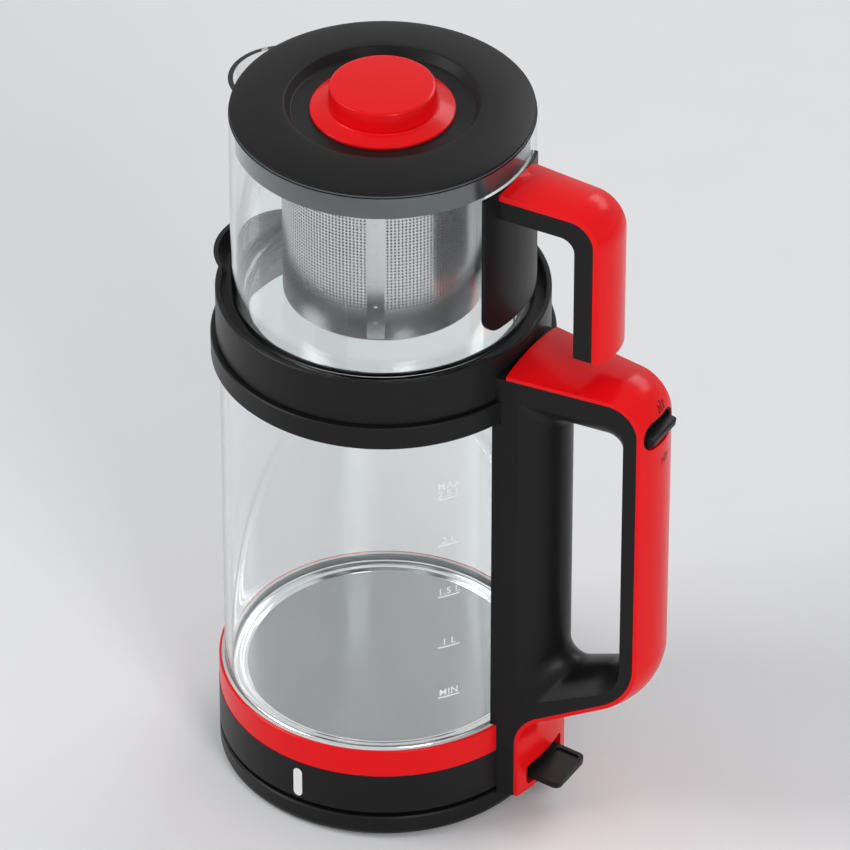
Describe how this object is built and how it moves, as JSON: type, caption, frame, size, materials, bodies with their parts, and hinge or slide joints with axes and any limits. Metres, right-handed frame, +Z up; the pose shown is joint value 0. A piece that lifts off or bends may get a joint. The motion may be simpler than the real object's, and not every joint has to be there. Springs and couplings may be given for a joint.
{
  "type": "tea maker",
  "caption": "Electric tea maker: a glass kettle with a moulded D-handle on a round power base, topped by a glass teapot with infuser basket and lid.",
  "frame": {"origin": "on the kettle's axis, on the plane that the base's feet stand on", "axes": "+Z up along the kettle's axis, +X towards both handles, -X towards both spouts, -Y the side with the indicator"},
  "size_m": [0.2358, 0.16, 0.3763],
  "materials": {
    "red_plastic": "glossy",
    "black_plastic": "satin",
    "rubber": "matt",
    "steel": "brushed",
    "aluminium": "plain",
    "brass": "plain",
    "glass": "clear",
    "lens": "translucent white",
    "board": "satin"
  },
  "bodies": {
    "base": {"base_shell": "black_plastic", "base_plate": "black_plastic", "base_feet": "rubber", "base_screws": "steel", "base_connector": "black_plastic", "base_contacts": "brass", "cord_bush": "black_plastic"},
    "coupler": {"coupler_socket": "black_plastic", "coupler_contacts": "brass"},
    "kettle": {"foot_housing": "black_plastic", "foot_cover": "black_plastic", "cover_screws": "steel", "indicator_lens": "lens", "indicator_board": "board", "trim_ring": "red_plastic", "plate_seal": "rubber", "heater_plate": "steel", "heat_spreader": "aluminium", "heating_element": "steel", "thermostat": "steel", "kettle_glass": "glass", "collar_skirt": "black_plastic", "collar_ring": "black_plastic", "collar_seal": "rubber", "teapot_seat": "black_plastic", "handle_core": "black_plastic", "handle_shell": "red_plastic", "housing_screws": "steel", "rocker_housing": "black_plastic", "rocker_pin": "steel", "rocker_contacts": "black_plastic", "lever_bracket": "black_plastic", "lever_pin": "steel", "lever_switch": "black_plastic"},
    "rocker": {"rocker_button": "black_plastic"},
    "lever": {"power_lever": "black_plastic"},
    "teapot": {"teapot_glass": "glass", "teapot_plate": "black_plastic", "teapot_handle_core": "black_plastic", "teapot_handle_shell": "red_plastic", "teapot_screw": "steel"},
    "basket": {"basket_side": "steel", "basket_floor": "steel", "basket_seam": "steel", "carrier_ring": "black_plastic"},
    "lid": {"lid_disc": "black_plastic", "lid_skirt": "black_plastic", "knob_base": "red_plastic", "knob_cap": "red_plastic", "knob_screw": "steel"}
  },
  "joints": [
    {"name": "kettle_lift", "type": "slide", "parent": "base", "child": "coupler", "axis": [0, 0, 1], "range_m": [0, 0.08]},
    {"name": "kettle_swivel", "type": "hinge", "parent": "coupler", "child": "kettle", "pos_m": [0, 0, 0.02], "axis": [0, 0, 1], "continuous": true},
    {"name": "rocker_tilt", "type": "hinge", "parent": "kettle", "child": "rocker", "pos_m": [0.1403, 0, 0.2385], "axis": [0, -1, 0], "range_deg": [0, 18]},
    {"name": "lever_tilt", "type": "hinge", "parent": "kettle", "child": "lever", "pos_m": [0.072, 0, 0.0214], "axis": [0, -1, 0], "range_deg": [0, 13]},
    {"name": "teapot_lift", "type": "slide", "parent": "kettle", "child": "teapot", "axis": [0, 0, 1], "range_m": [0, 0.1]},
    {"name": "basket_lift", "type": "slide", "parent": "teapot", "child": "basket", "axis": [0, 0, 1], "range_m": [0, 0.11]},
    {"name": "lid_lift", "type": "slide", "parent": "basket", "child": "lid", "axis": [0, 0, 1], "range_m": [0, 0.05]}
  ]
}
